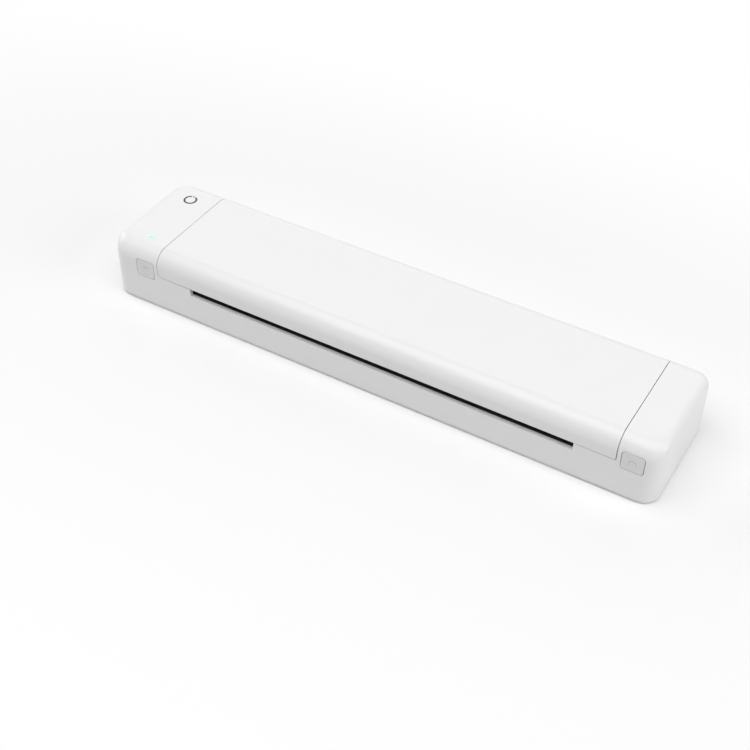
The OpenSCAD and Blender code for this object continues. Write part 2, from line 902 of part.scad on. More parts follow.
module platen_sleeve() {
    chamfer = 0.6;
    half = platen_length / 2;
    color("dimgray") translate([mid_x, platen_y, platen_z]) rotate([0, 90, 0]) rotate_extrude() polygon([
        [shaft_r + fixed_fit, -half], [platen_r - chamfer, -half], [platen_r, -half + chamfer],
        [platen_r, half - chamfer], [platen_r - chamfer, half], [shaft_r + fixed_fit, half]
    ]);
}

module main_board() {
    color("seagreen") difference() {
        span_box([board_left, board_front, board_z], [board_left + board_length, board_rear, board_top]);
        for (p = board_screw_at) {
            rod_z(board_z - over, board_top + over, p, screw_r + 0.1);
        }
    }
}

// Plug on the main board that a flat cable goes into
module board_plug(x0, w) {
    span_box([x0 - 0.6, plug_rear - plug_d, board_top], [x0 + w + 0.6, plug_rear - 0.1, board_top + 3]);
}

// Chips, capacitors and plugs on the main board
module board_components() {
    color("dimgray") {
        for (x = [30, 66, 118, 150], w = [10]) {
            span_box([board_left + x, board_front + 1.4, board_top],
                [board_left + x + w, board_front + 1.4 + w * 0.7, board_top + 1.2]);
        }
        for (x = [84, 136, 168]) {
            rod_z(board_top, board_top + 5, [board_left + x, board_front + 4], 2.5);
        }
        board_plug(motor_cable_x(), 5);
        board_plug(battery_cable_x(), 2.6);
        board_plug(cable_x, cable_w);
        span_box([touch_plug[0], touch_plug[1], board_top], [touch_plug[0] + 5, touch_plug[1] + 2.6, board_top + 3]);
    }
}

module board_screws() {
    color("silver") for (p = board_screw_at) {
        translate([p[0], p[1], board_top + screw_head_h]) screw(board_screw_length);
    }
}

// Socket shell with its tongue, on the left end of the main board
module usb_socket() {
    w = port_width - 0.3;
    h = port_height - 0.2;
    mouth = left_x + 0.5;
    color("silver") {
        along_x(mouth, mouth + port_depth) translate([port_y, port_z]) difference() {
            stadium(w, h);
            stadium(w - 0.6, h - 0.6);
        }
        along_x(mouth + port_depth - 1, mouth + port_depth) translate([port_y, port_z]) stadium(w, h);
        span_box([mouth + 1.2, port_y - 3.3, port_z - 0.35], [mouth + port_depth, port_y + 3.3, port_z + 0.35]);
    }
}

module battery_pack() {
    block = 3.2;
    color("steelblue") {
        along_x(battery_x, battery_x + battery_length) round_rect(
            [battery_front, battery_z], [battery_rear, battery_z + battery_h], 2
        );
        span_box([battery_x - block, battery_front + 1, battery_z],
            [battery_x, battery_front + 12, battery_z + 5]);
    }
}

function motor_cable_x() = bracket_x - bracket_t - motor_flange_t - motor_length + 4;
function battery_cable_x() = battery_x - 2.9;

// Flat cable that runs forward under the trough and up into a plug on the board
function under_trough(start) = concat(start, [
    [platen_y - 5, cable_z], [platen_y - 8.4, board_top + 1], [plug_rear, board_top + 1.4]
]);

module battery_cable() {
    x = battery_cable_x();
    path = under_trough([[battery_front + 0.8, battery_z + 2], [battery_front - 3, cable_z]]);
    color("firebrick") along_x(x, x + 2.6) polygon(strip_points(path, cable_t));
}

module motor_cable() {
    x = motor_cable_x();
    start_y = motor_yz[0] - motor_r - 2.6;
    path = under_trough([[start_y, motor_yz[1] - 7], [start_y - 3, cable_z]]);
    color("whitesmoke") along_x(x, x + 5) polygon(strip_points(path, cable_t));
}

module touch_cable() {
    color("darkorange") span_box(
        [touch_plug[0] + 0.4, touch_plug[1] + 1.2, board_top + 3],
        [touch_plug[0] + 4.6, touch_plug[1] + 1.8, touch_board_z]
    );
}

module touch_board() {
    color("seagreen") difference() {
        union() {
            span_box([touch_board_left, touch_board_front, touch_board_z],
                [touch_board_right, touch_board_rear, touch_board_top]);
            span_box([light_at[0] - 0.8, light_at[1] - 0.8, touch_board_top - 0.1],
                [light_at[0] + 0.8, light_at[1] + 0.8, touch_board_top + 0.8]);
        }
        for (p = touch_screw_at) {
            rod_z(touch_board_z - over, touch_board_top + over, p, screw_r + 0.1);
        }
    }
}

module touch_pad() {
    color("gray") rod_z(touch_board_top, ceiling, mark_at, mark_r);
}

module touch_board_screws() {
    color("silver") for (p = touch_screw_at) {
        translate([p[0], p[1], touch_board_z - screw_head_h]) mirror([0, 0, 1]) screw(4);
    }
}

module paper_sensor() {
    color("dimgray") span_box(
        [sensor_x - 3.8, platen_y + 13.2, deck_under - 1.8], [sensor_x + 3.8, platen_y + 16.8, deck_top - 0.1]
    );
}

// Light gate on the deck that the flag on the cover frame dips into
module cover_sensor() {
    half_w = 3;
    d = 6;
    color("dimgray") difference() {
        span_box([cover_sensor_x - half_w, cover_sensor_y - d / 2, deck_top],
            [cover_sensor_x + half_w, cover_sensor_y + d / 2, lip_z - 0.6]);
        span_box([cover_sensor_x - 1, cover_sensor_y - d, deck_top + 1.4],
            [cover_sensor_x + 1, cover_sensor_y + d, lip_z]);
    }
}

// The white lid: rounded over the front and the rear edge, closed at both ends
module top_cover() {
    x0 = seam_left + seam;
    x1 = seam_right - seam;
    end_wall = 2;
    color("white") difference() {
        union() {
            difference() {
                along_x(x0, x1) case_section(0, lip_z);
                along_x(x0 + end_wall, x1 - end_wall) case_section(wall, lip_z - over);
            }
            both_sides() {
                rod_x(x0, x0 + hinge_boss_length, [hinge_y, hinge_z], hinge_boss_r);
                catch_tab(x0 + end_wall);
            }
            for (p = frame_screw_at) {
                rod_z(frame_top, ceiling + 0.5, p, 2.6);
            }
            cover_gussets();
        }
        both_sides() rod_x(x0 - over, x0 + hinge_boss_length + over, [hinge_y, hinge_z], hinge_pin_r + running_fit);
        for (p = frame_screw_at) {
            rod_z(frame_top - over, frame_top + frame_screw_length, p, screw_r + fixed_fit);
        }
        difference() {
            span_box([x0 - over, front_y - over, lip_z - over], [x1 + over, in_front + slice_t, lip_z + lip_corner_r]);
            along_y(front_y - 2 * over, in_front + over) lip_outline(x0, x1, lip_z, lip_corner_r);
        }
    }
}

// Tab with a ledge that the hook of the release button holds
module catch_tab(x) {
    ledge_top = arm_z - 0.3;
    along_x(x - slice_t, x + catch_t) {
        translate([catch_y, ledge_top - 2.3]) square([catch_d, ceiling - ledge_top + 2.5]);
        polygon([
            [catch_y + catch_d - slice_t, ledge_top], [catch_y + catch_d + catch_reach, ledge_top],
            [catch_y + catch_d + catch_reach, ledge_top - 0.6], [catch_y + catch_d - slice_t, ledge_top - 2.3]
        ]);
    }
}

// Thin gussets that stiffen the cover's front and rear edge
module cover_gussets() {
    gusset_t = 1.2;
    for (x = [-60, -20, 20, 60]) {
        along_x(mid_x + x, mid_x + x + gusset_t) intersection() {
            case_section(wall / 2, lip_z);
            union() {
                translate([front_y, ceiling - 5]) square([14, 8]);
                translate([rear_y - 12, ceiling - 5]) square([14, 8]);
            }
        }
    }
}

// Frame that closes the cover from below, guides the sheet and carries the head
module cover_frame() {
    x0 = mid_x - frame_half;
    x1 = mid_x + frame_half;
    wall_top = ceiling - 0.3;
    color("dimgray") difference() {
        union() {
            span_box([x0, frame_front, frame_z], [x1, frame_rear, frame_top]);
            for (y = [window_front - rib_t, window_rear]) {
                span_box([mid_x - window_half, y, frame_z], [mid_x + window_half, y + rib_t, wall_top]);
            }
            for (x = head_spring_x()) {
                bridge(x);
            }
            both_sides() span_box(
                [mid_x - window_half - 3, pivot_y - 3.5, frame_z], [mid_x - window_half, pivot_y + 3.5, pivot_z + 4]
            );
            span_box([cover_sensor_x - 0.5, cover_sensor_y - 2, deck_top + 2],
                [cover_sensor_x + 0.5, cover_sensor_y + 2, frame_top]);
            paper_guide_ribs();
        }
        span_box([mid_x - window_half, window_front, frame_z - over], [mid_x + window_half, window_rear, frame_top + over]);
        span_box([cable_x - 0.4, cable_y - 0.8, frame_z - over], [cable_x + cable_w + 0.4, cable_y + 0.8, frame_top + over]);
        span_box([mid_x - window_half - over, window_rear - over, fpc_z - 0.15 - fpc_t / 2],
            [fpc_x + 9, window_rear + rib_t + over, ceiling]);
        both_sides() rod_x(mid_x - window_half - 3 - over, mid_x - window_half + over,
            [pivot_y, pivot_z], pivot_r + running_fit);
        for (p = frame_screw_at) {
            rod_z(frame_z - over, frame_z + screw_head_h + 0.1, p, screw_head_r + 0.1);
            rod_z(frame_z, frame_top + over, p, screw_r + 0.1);
        }
    }
}

// Places of the head springs along X, evenly spread
function head_spring_x() =
    [for (i = [0 : head_spring_count - 1]) mid_x + spring_span * (i / (head_spring_count - 1) - 0.5)];

// Bridge over the head with a cup that holds a spring
module bridge(x) {
    cup_h = 1.5;
    span_box([x - bridge_w / 2, window_front - over, bridge_z], [x + bridge_w / 2, window_rear + over, bridge_z + bridge_t]);
    translate([x, spring_y, 0]) difference() {
        rod_z(bridge_z - cup_h, bridge_z + slice_t, [0, 0], spring_r + spring_wire_r + 1.2);
        rod_z(bridge_z - cup_h - over, bridge_z, [0, 0], spring_r + spring_wire_r + 0.3);
    }
}

// Low ribs under the frame that keep the sheet down
module paper_guide_ribs() {
    pitch = 18;
    rib_h = 0.15;
    for (i = [-6 : 6], y = [[frame_front, window_front - 0.5], [window_rear + 0.5, frame_rear]]) {
        x = mid_x + pitch * i;
        span_box([x - 0.5, y[0], frame_z - rib_h], [x + 0.5, y[1], frame_z + 0.5]);
    }
}

module frame_screws() {
    color("silver") for (p = frame_screw_at) {
        translate([p[0], p[1], frame_z + 0.1]) mirror([0, 0, 1]) screw(frame_screw_length);
    }
}

// Aluminium back of the head, with low fins, a stiffening edge and the pivot lugs
module head_heat_sink() {
    fin_h = 1.4;
    top = sink_z + sink_t;
    color("silver") difference() {
        union() {
            along_x(mid_x - sink_half, mid_x + sink_half) {
                translate([sink_front, sink_z]) square([sink_rear - sink_front, sink_t]);
                translate([sink_front, sink_z]) square([1.5, sink_t + 2.6]);
                translate([sink_rear - 1.2, sink_z]) square([1.2, sink_t + 3.4]);
                for (y = [platen_y - 6.6, platen_y + 3.4, platen_y + 6.4, platen_y + 9.4]) {
                    translate([y, top - slice_t]) square([1.2, fin_h]);
                }
            }
            both_sides() span_box([mid_x - sink_half - lug_t, pivot_y - 4, sink_z],
                [mid_x - sink_half + slice_t, pivot_y + 2, pivot_z + 2.5]);
            for (x = head_spring_x()) {
                rod_z(top - slice_t, top + 1.5, [x, spring_y], spring_r - spring_wire_r - 0.3);
            }
        }
        both_sides() rod_x(mid_x - sink_half - lug_t - over, mid_x - sink_half, [pivot_y, pivot_z], pivot_r + fixed_fit);
        span_box([fpc_x - 0.6, platen_y + 3, top], [fpc_x + 8.6, platen_y + 11, top + 2]);
        for (x = head_spring_x()) {
            translate([x, spring_y, 0]) difference() {
                rod_z(top, top + 2, [0, 0], spring_r + spring_wire_r + 0.5);
                rod_z(top - over, top + 3, [0, 0], spring_r - spring_wire_r - 0.3);
            }
        }
    }
}

// Ceramic strip with the raised heating line over the roller's axis
module head_substrate() {
    half = sink_half - 2;
    color("ivory") along_x(mid_x - half, mid_x + half) {
        translate([platen_y - 5.5, substrate_z]) square([13, substrate_t]);
        intersection() {
            translate([platen_y, head_z + 1]) circle(1);
            translate([platen_y - 1, head_z]) square([2, bead_h + slice_t]);
        }
    }
}

// Black covers: one over the driver chips, one plug for the flat cable
module head_driver_cover() {
    top = sink_z + sink_t;
    color("dimgray") {
        along_x(mid_x - sink_half + 4, mid_x + sink_half - 4) polygon([
            [platen_y + 7.6, sink_z], [platen_y + 7.6, sink_z - 0.5], [platen_y + 8.4, sink_z - 0.9],
            [platen_y + 14.2, sink_z - 0.9], [platen_y + 14.8, sink_z - 0.4], [platen_y + 14.8, sink_z]
        ]);
        span_box([fpc_x, platen_y + 4, top], [fpc_x + 8, platen_y + 9, top + 1.9]);
    }
}

module head_pivot_pins() {
    color("silver") both_sides() rod_x(mid_x - window_half - 2.7, mid_x - sink_half - 0.02, [pivot_y, pivot_z], pivot_r);
}

// Lengths of the coils at rest, 0.05 mm off both of their seats
head_coil = bridge_z - sink_z - sink_t - 0.1;
release_coil = shelf_y - stem_end_y - 0.1;
coil_turns = 5;
echo(head_spring_gap = coil_gap(head_coil, spring_r, spring_wire_r, coil_turns));
echo(release_spring_gap = coil_gap(release_coil, 2, 0.3, coil_turns));

// One unbroken tube of triangles along a coil
module coil(length, r, wire_r, turns) {
    sides = 6;
    rings = coil_rings(length, r, wire_r, turns);
    n = len(rings);
    points = [for (g = rings, k = [0 : sides - 1])
        let (
            a = 360 * k / sides,
            out = g[0] + wire_r * cos(a)
        )
        g[3] == 1
            ? [out * cos(g[1]), out * sin(g[1]), g[2] + wire_r * sin(a)]
            : [out * cos(g[1]) + wire_r * sin(a) * sin(g[1]), out * sin(g[1]) - wire_r * sin(a) * cos(g[1]), g[2]]
    ];
    caps = [
        for (k = [1 : sides - 2]) [0, k + 1, k],
        for (k = [1 : sides - 2]) [(n - 1) * sides, (n - 1) * sides + k, (n - 1) * sides + k + 1]
    ];
    skin = [for (i = [0 : n - 2], k = [0 : sides - 1])
        let (a = i * sides + k, b = i * sides + (k + 1) % sides)
        each [[a, b, a + sides], [b, b + sides, a + sides]]
    ];
    polyhedron(points, concat(caps, skin));
}

module head_springs() {
    z0 = sink_z + sink_t + 0.05;
    color("silver") for (x = head_spring_x()) {
        translate([x, spring_y, z0]) coil(head_coil, spring_r, spring_wire_r, coil_turns);
    }
}

// Upper half of the head cable: from the head's plug over the frame and down beside the paper
module head_cable_upper() {
    plug_z = sink_z + sink_t + 1;
    rise = [[platen_y + 9.2, plug_z], [platen_y + 10.4, plug_z + 0.8], [platen_y + 12, fpc_z - 0.8],
        [platen_y + 13.4, fpc_z], [cable_y - 3, fpc_z]];
    fall = [[cable_y - 6, fpc_z], [cable_y - 1.2, fpc_z], [cable_y - 0.2, fpc_z - 1], [cable_y, frame_top + 0.4]];
    color("darkorange") {
        along_x(fpc_x, fpc_x + 8) polygon(strip_points(rise, fpc_t));
        span_box([cable_x, cable_y - 7.5, fpc_z - fpc_t / 2], [fpc_x + 8, cable_y - 1.6, fpc_z + fpc_t / 2]);
        along_x(cable_x, cable_x + cable_w) polygon(strip_points(fall, fpc_t));
    }
}

// Lower half: a loop with slack through the deck, then forward to the main board
module head_cable_lower() {
    path = under_trough([[cable_y, frame_top + 0.1], [cable_y, cable_z + 2.5], [cable_y - 2.5, cable_z]]);
    color("darkorange") along_x(cable_x, cable_x + cable_w) polygon(strip_points(path, fpc_t));
}

// Cap, stem and hook of one release button
module release_button(dished) {
    half = stem_w / 2;
    left = button_x - button_width / 2;
    right = button_x + button_width / 2;
    low = button_z - button_height / 2 - flange_extra;
    high = button_z + button_height / 2 + flange_top;
    flange_y = in_front + 0.6;
    hook_x = seam_left + seam + 2;
    difference() {
        union() {
            intersection() {
                along_y(front_y, front_y + button_depth) button_outline(0);
                along_x(left - over, right + over) case_section(0, 0);
            }
            span_box([left - flange_extra, flange_y, low], [min(right + flange_extra, cheek_in - 0.3), flange_y + flange_t, high]);
            span_box([button_x - half, flange_y, stem_z - half], [button_x + half, stem_end_y, stem_z + half]);
            along_y(stem_end_y - over, stem_end_y + 3.5) translate([button_x, stem_z]) circle(1.1);
            span_box([button_x - half, arm_y, arm_z], [button_x + half, arm_y + arm_d, stem_z]);
            span_box([button_x - half, arm_y, arm_z], [hook_x + catch_t, arm_y + arm_d, arm_z + arm_h]);
            along_x(hook_x, hook_x + catch_t) polygon([
                [arm_y + slice_t, arm_z], [catch_y + catch_d + catch_reach + hook_miss, arm_z],
                [catch_y + catch_d + catch_reach + hook_miss, arm_z + 0.5], [arm_y + slice_t, arm_z + arm_h]
            ]);
        }
        if (dished) {
            translate([button_x, front_y - dish_r + dish_depth, button_z]) sphere(dish_r, $fn = 96);
        }
    }
}

module release_button_left() {
    color("white") release_button(true);
}

module release_button_right() {
    color("white") other_side() release_button(false);
}

module release_spring() {
    translate([button_x, shelf_y - 0.05, stem_z]) rotate([90, 0, 0]) {
        coil(release_coil, 2, 0.3, coil_turns);
    }
}

module release_spring_left() {
    color("silver") release_spring();
}

module release_spring_right() {
    color("silver") other_side() release_spring();
}

housing();
bottom_cover();
case_screws();
rubber_feet();
paper_deck();
deck_screws();
hinge_pins();
platen_bushings();
gear_bracket();
bracket_screws();
stepper_motor();
motor_screws();
gear_axle();
main_board();
board_components();
board_screws();
usb_socket();
battery_pack();
battery_cable();
motor_cable();
touch_cable();
touch_board();
touch_pad();
touch_board_screws();
power_mark();
status_light_pipe();
paper_sensor();
cover_sensor();
release_spring_left();
release_spring_right();
head_cable_lower();
top_cover();
cover_frame();
frame_screws();
head_springs();
head_cable_upper();
head_heat_sink();
head_substrate();
head_driver_cover();
head_pivot_pins();
platen_shaft();
platen_sleeve();
platen_gear();
compound_gear();
motor_shaft();
motor_pinion();
release_button_left();
release_button_right();
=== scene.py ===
"""Looks of the A4 portable thermal printer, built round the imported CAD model. All lengths are in metres."""
import json
import math

import bmesh
import bpy
from mathutils import Matrix, Vector

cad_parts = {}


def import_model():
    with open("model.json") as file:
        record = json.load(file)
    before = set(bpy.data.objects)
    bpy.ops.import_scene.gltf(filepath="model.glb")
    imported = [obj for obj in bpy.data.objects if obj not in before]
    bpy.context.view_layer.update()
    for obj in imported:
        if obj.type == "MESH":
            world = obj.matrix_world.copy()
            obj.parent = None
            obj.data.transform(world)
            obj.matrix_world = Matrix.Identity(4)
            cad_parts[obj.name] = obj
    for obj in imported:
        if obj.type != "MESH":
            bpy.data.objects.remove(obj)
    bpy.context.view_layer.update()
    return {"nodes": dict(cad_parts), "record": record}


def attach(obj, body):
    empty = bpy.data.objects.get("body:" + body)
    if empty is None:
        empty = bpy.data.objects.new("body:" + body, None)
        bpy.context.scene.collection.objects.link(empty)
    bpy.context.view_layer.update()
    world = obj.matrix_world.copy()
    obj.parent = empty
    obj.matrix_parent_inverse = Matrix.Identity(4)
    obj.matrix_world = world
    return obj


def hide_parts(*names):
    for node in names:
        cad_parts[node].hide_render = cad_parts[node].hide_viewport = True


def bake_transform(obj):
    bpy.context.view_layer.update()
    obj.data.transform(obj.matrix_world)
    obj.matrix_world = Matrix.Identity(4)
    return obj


MM = 0.001

# Camera, fitted to the edges of the case in the photograph
CAMERA_AT = (0.25606, -0.45573, 0.46147)
CAMERA_TURN = 30.46
CAMERA_HEIGHT_ANGLE = 42.42
CAMERA_ROLL = 0.38
CAMERA_LENS = 63.26
SENSOR_WIDTH = 36
NEAR_LIMIT = 0.01

# Neighbouring faces that meet at less than this angle are shaded as one curve
SMOOTH_ANGLE = math.radians(30)

# Every surface: features per metre of its broad unevenness, share by which its roughness varies, and
# strength of its grain
MOTTLE_SCALE = 45
ROUGHNESS_SPREAD = 0.15
GRAIN_STRENGTH = 0.6
# Share of a button's tone that is left in its engraved signs. The signs are not cut into the button; they are
# painted darker, as painted shade of engraved grooves
ENGRAVED_SHADE_TONE = 0.62

# Cables, in millimetres: places across the case, thickness of the flat one and radii of the round ones
HEAD_FLEX_X = (-119.5, -112)
HEAD_FLEX_THICKNESS = 0.2
BATTERY_LEADS = (
    ("battery_lead_red", -2.25, "wire_red", ["battery_cable"]),
    ("battery_lead_black", -0.95, "chip_black", []),
)
BATTERY_LEAD_R = 0.5
MOTOR_LEAD_X = -149.2
MOTOR_LEAD_PITCH = 1.27
MOTOR_LEAD_COUNT = 4
MOTOR_LEAD_R = 0.58

# Springs: node, axis along which it stands, radius of its wire in millimetres, and the two bodies that hold it
SPRINGS = (
    ("head_springs", 2, 0.35, "cover", "head"),
    ("release_spring_left", 1, 0.3, "base", "release_left"),
    ("release_spring_right", 1, 0.3, "base", "release_right"),
)
# Least gap in X between two springs of one node, and rise of a closed end turn in wire radii
SPRING_GAP = 5 * MM
CLOSED_RISE = 2.1

# Soft lights: name, place, point that it faces, two sides, power in watts, and direction of the first side
LAMPS = (
    ("overhead", (0.05, -0.3, 1.08), (0.05, 0, 0), (1.6, 1.0), 11.6, (1, 0, 0)),
    ("rear_panel", (-0.5, 1.7, 1.1), (0, 0, 0), (2.6, 1.4), 8.5, (1, 0, 0)),
    ("right_fill", (1.3, 0.1, 0.6), (0, 0, 0.02), (0.8, 0.8), 5.2, (0, 1, 0)),
    ("left_fill", (-1.3, 0.1, 0.5), (0, 0, 0.02), (0.8, 0.8), 4.6, (0, 1, 0)),
)
# Strength of the world on the object, and where it is seen directly
WORLD_ON_OBJECT = 0.11
WORLD_SEEN = 1.0

# Floor: half its side, its tone, and the glow that lifts it where it is seen directly
FLOOR_HALF = 4.0
FLOOR_TONE = 0.89
FLOOR_LIFT = 0.06
# Distances from the middle at which the floor starts to fade to white and is white, with X counted by a share
FADE_START = 0.06
FADE_END = 0.28
FADE_STRETCH = (0.4, 1, 1)


# ---------------------------------------------------------------- materials

def add_node(tree, kind, settings=None, links=None):
    """Adds a shader node, sets its properties and input values, and links its inputs."""
    node = tree.nodes.new(kind)
    for name, value in (settings or {}).items():
        if isinstance(name, int) or name in node.inputs:
            node.inputs[name].default_value = value
        else:
            setattr(node, name, value)
    for name, source in (links or {}).items():
        tree.links.new(source, node.inputs[name])
    return node


def object_coordinates(tree, stretch=(1, 1, 1)):
    """Coordinates in metres, scaled along each axis."""
    place = add_node(tree, "ShaderNodeTexCoord").outputs["Object"]
    return add_node(tree, "ShaderNodeMapping", {"Scale": stretch}, {"Vector": place}).outputs["Vector"]


def noise(tree, scale, stretch=(1, 1, 1), detail=3.0):
    """Noise with the given number of features per metre."""
    where = object_coordinates(tree, stretch)
    grains = add_node(tree, "ShaderNodeTexNoise", {"Scale": scale, "Detail": detail}, {"Vector": where})
    return grains.outputs["Fac"]


def between(tree, factor, low, high):
    """Turns a factor of 0 to 1 into a value between two limits."""
    ranged = add_node(tree, "ShaderNodeMapRange", {"To Min": low, "To Max": high}, {"Value": factor})
    return ranged.outputs["Result"]


def mixed(tree, factor, dark, light):
    """Blends two colours by a factor."""
    mix = add_node(tree, "ShaderNodeMix", {"data_type": "RGBA"}, {"Factor": factor})
    mix.inputs[6].default_value = (*dark, 1)
    mix.inputs[7].default_value = (*light, 1)
    return mix.outputs[2]


def surface(name, colour, roughness, metallic=0.0, grain=(1800, 0.01), stretch=(1, 1, 1), mottle=0.03):
    """Material with a fine grain, uneven roughness and a slight change of tone.

    grain is the number of features per metre and their height in millimetres, and mottle the change of tone.
    """
    mat = bpy.data.materials.new(name)
    mat.use_nodes = True
    mat.diffuse_color = (*colour, 1)
    tree = mat.node_tree
    shader = tree.nodes["Principled BSDF"]
    shader.inputs["Metallic"].default_value = metallic
    fine = noise(tree, grain[0], stretch)
    broad = noise(tree, MOTTLE_SCALE, stretch)
    darker = tuple(c * (1 - mottle) for c in colour)
    tree.links.new(mixed(tree, broad, darker, colour), shader.inputs["Base Color"])
    low, high = roughness * (1 - ROUGHNESS_SPREAD), roughness * (1 + ROUGHNESS_SPREAD)
    tree.links.new(between(tree, fine, low, high), shader.inputs["Roughness"])
    depth = {"Strength": GRAIN_STRENGTH, "Distance": grain[1] * MM}
    bump = add_node(tree, "ShaderNodeBump", depth, {"Height": fine})
    tree.links.new(bump.outputs["Normal"], shader.inputs["Normal"])
    return mat


def striped(name, colour, line_colour, pitch, roughness, metallic=0.0, direction="X", line=0.5):
    """Material with thin parallel lines, such as the tracks of a flat cable."""
    mat = surface(name, colour, roughness, metallic)
    tree = mat.node_tree
    where = object_coordinates(tree)
    wave = add_node(
        tree, "ShaderNodeTexWave",
        {"bands_direction": direction, "Scale": math.pi / pitch / 10, "Distortion": 0.0}, {"Vector": where},
    ).outputs["Fac"]
    sharp = add_node(tree, "ShaderNodeMath", {"operation": "GREATER_THAN", 1: line}, {0: wave}).outputs[0]
    lines = mixed(tree, sharp, colour, line_colour)
    tree.links.new(lines, tree.nodes["Principled BSDF"].inputs["Base Color"])
    return mat


def circuit_board(name):
    """Green solder mask with raised copper tracks underneath."""
    mat = surface(name, (0.02, 0.16, 0.07), 0.3, grain=(900, 0.01))
    tree = mat.node_tree
    where = object_coordinates(tree, (1, 1.6, 1))
    tracks = add_node(
        tree, "ShaderNodeTexVoronoi",
        {"feature": "F1", "distance": "CHEBYCHEV", "Scale": 330.0}, {"Vector": where},
    ).outputs["Distance"]
    edge = add_node(tree, "ShaderNodeMath", {"operation": "PINGPONG", 1: 0.09}, {0: tracks}).outputs[0]
    line = add_node(tree, "ShaderNodeMath", {"operation": "GREATER_THAN", 1: 0.062}, {0: edge}).outputs[0]
    shader = tree.nodes["Principled BSDF"]
    tree.links.new(mixed(tree, line, (0.018, 0.15, 0.065), (0.05, 0.28, 0.13)), shader.inputs["Base Color"])
    bump = add_node(tree, "ShaderNodeBump", {"Strength": 0.4, "Distance": 0.03 * MM}, {"Height": line})
    tree.links.new(bump.outputs["Normal"], shader.inputs["Normal"])
    return mat


def ceramic_strip(name):
    """Glazed strip of the head: pale ceramic, a dark heating line and the gold of its conductors."""
    mat = surface(name, (0.78, 0.75, 0.66), 0.12, grain=(700, 0.002))
    tree = mat.node_tree
    y = add_node(tree, "ShaderNodeSeparateXYZ", {}, {"Vector": object_coordinates(tree)}).outputs["Y"]
    across = add_node(
        tree, "ShaderNodeMapRange", {"From Min": -9.5 * MM, "From Max": 3.5 * MM}, {"Value": y}
    ).outputs["Result"]
    ramp = add_node(tree, "ShaderNodeValToRGB", {}, {"Fac": across})
    bands = [
        (0.0, (0.78, 0.75, 0.66)), (0.30, (0.55, 0.43, 0.2)), (0.39, (0.1, 0.06, 0.04)),
        (0.46, (0.5, 0.38, 0.18)), (0.62, (0.72, 0.68, 0.58)),
    ]
    ramp.color_ramp.interpolation = "CONSTANT"
    while len(ramp.color_ramp.elements) < len(bands):
        ramp.color_ramp.elements.new(1.0)
    for element, (place, colour) in zip(ramp.color_ramp.elements, bands):
        element.position = place
        element.color = (*colour, 1)
    tree.links.new(ramp.outputs["Color"], tree.nodes["Principled BSDF"].inputs["Base Color"])
    return mat


def engraved_shade_marks(name, colour, roughness, rings, dots):
    """Satin plastic whose front has faint arcs and dots, at places in X and Z in millimetres, painted darker as
    painted shade of engraved signs; the plastic has no grooves there.
    """
    mat = surface(name, colour, roughness, grain=(2600, 0.004), mottle=0.012)
    tree = mat.node_tree
    place = object_coordinates(tree)
    in_plane = {"operation": "MULTIPLY", 1: (1, 0, 1)}
    flat = add_node(tree, "ShaderNodeVectorMath", in_plane, {0: place}).outputs[0]
    z = add_node(tree, "ShaderNodeSeparateXYZ", {}, {"Vector": place}).outputs["Z"]

    def math_node(operation, value, source):
        return add_node(tree, "ShaderNodeMath", {"operation": operation, 1: value}, {0: source}).outputs[0]

    def distance_from(x_mm, z_mm):
        away = add_node(
            tree, "ShaderNodeVectorMath", {"operation": "SUBTRACT", 1: (x_mm * MM, 0, z_mm * MM)}, {0: flat}
        ).outputs[0]
        return add_node(tree, "ShaderNodeVectorMath", {"operation": "LENGTH"}, {0: away}).outputs["Value"]

    shade_masks = [math_node("LESS_THAN", r * MM, distance_from(x_mm, z_mm)) for x_mm, z_mm, r in dots]
    for x_mm, z_mm, r, half_width in rings:
        off = math_node("ABSOLUTE", 0, math_node("SUBTRACT", r * MM, distance_from(x_mm, z_mm)))
        on_ring = math_node("LESS_THAN", half_width * MM, off)
        above = math_node("GREATER_THAN", z_mm * MM, z)
        arc = add_node(tree, "ShaderNodeMath", {"operation": "MULTIPLY"}, {0: on_ring, 1: above})
        shade_masks.append(arc.outputs[0])
    total = shade_masks[0]
    for mask in shade_masks[1:]:
        total = add_node(tree, "ShaderNodeMath", {"operation": "MAXIMUM"}, {0: total, 1: mask}).outputs[0]
    # Painted shade: the engraved signs get a darker tone in place of the shadow that real grooves would cast
    darker = tuple(c * ENGRAVED_SHADE_TONE for c in colour)
    tree.links.new(mixed(tree, total, colour, darker), tree.nodes["Principled BSDF"].inputs["Base Color"])
    return mat


def glowing(name, colour, strength):
    """Tinted light pipe that is lit from below."""
    mat = surface(name, colour, 0.25)
    shader = mat.node_tree.nodes["Principled BSDF"]
    shader.inputs["Emission Color"].default_value = (*colour, 1)
    shader.inputs["Emission Strength"].default_value = strength
    return mat


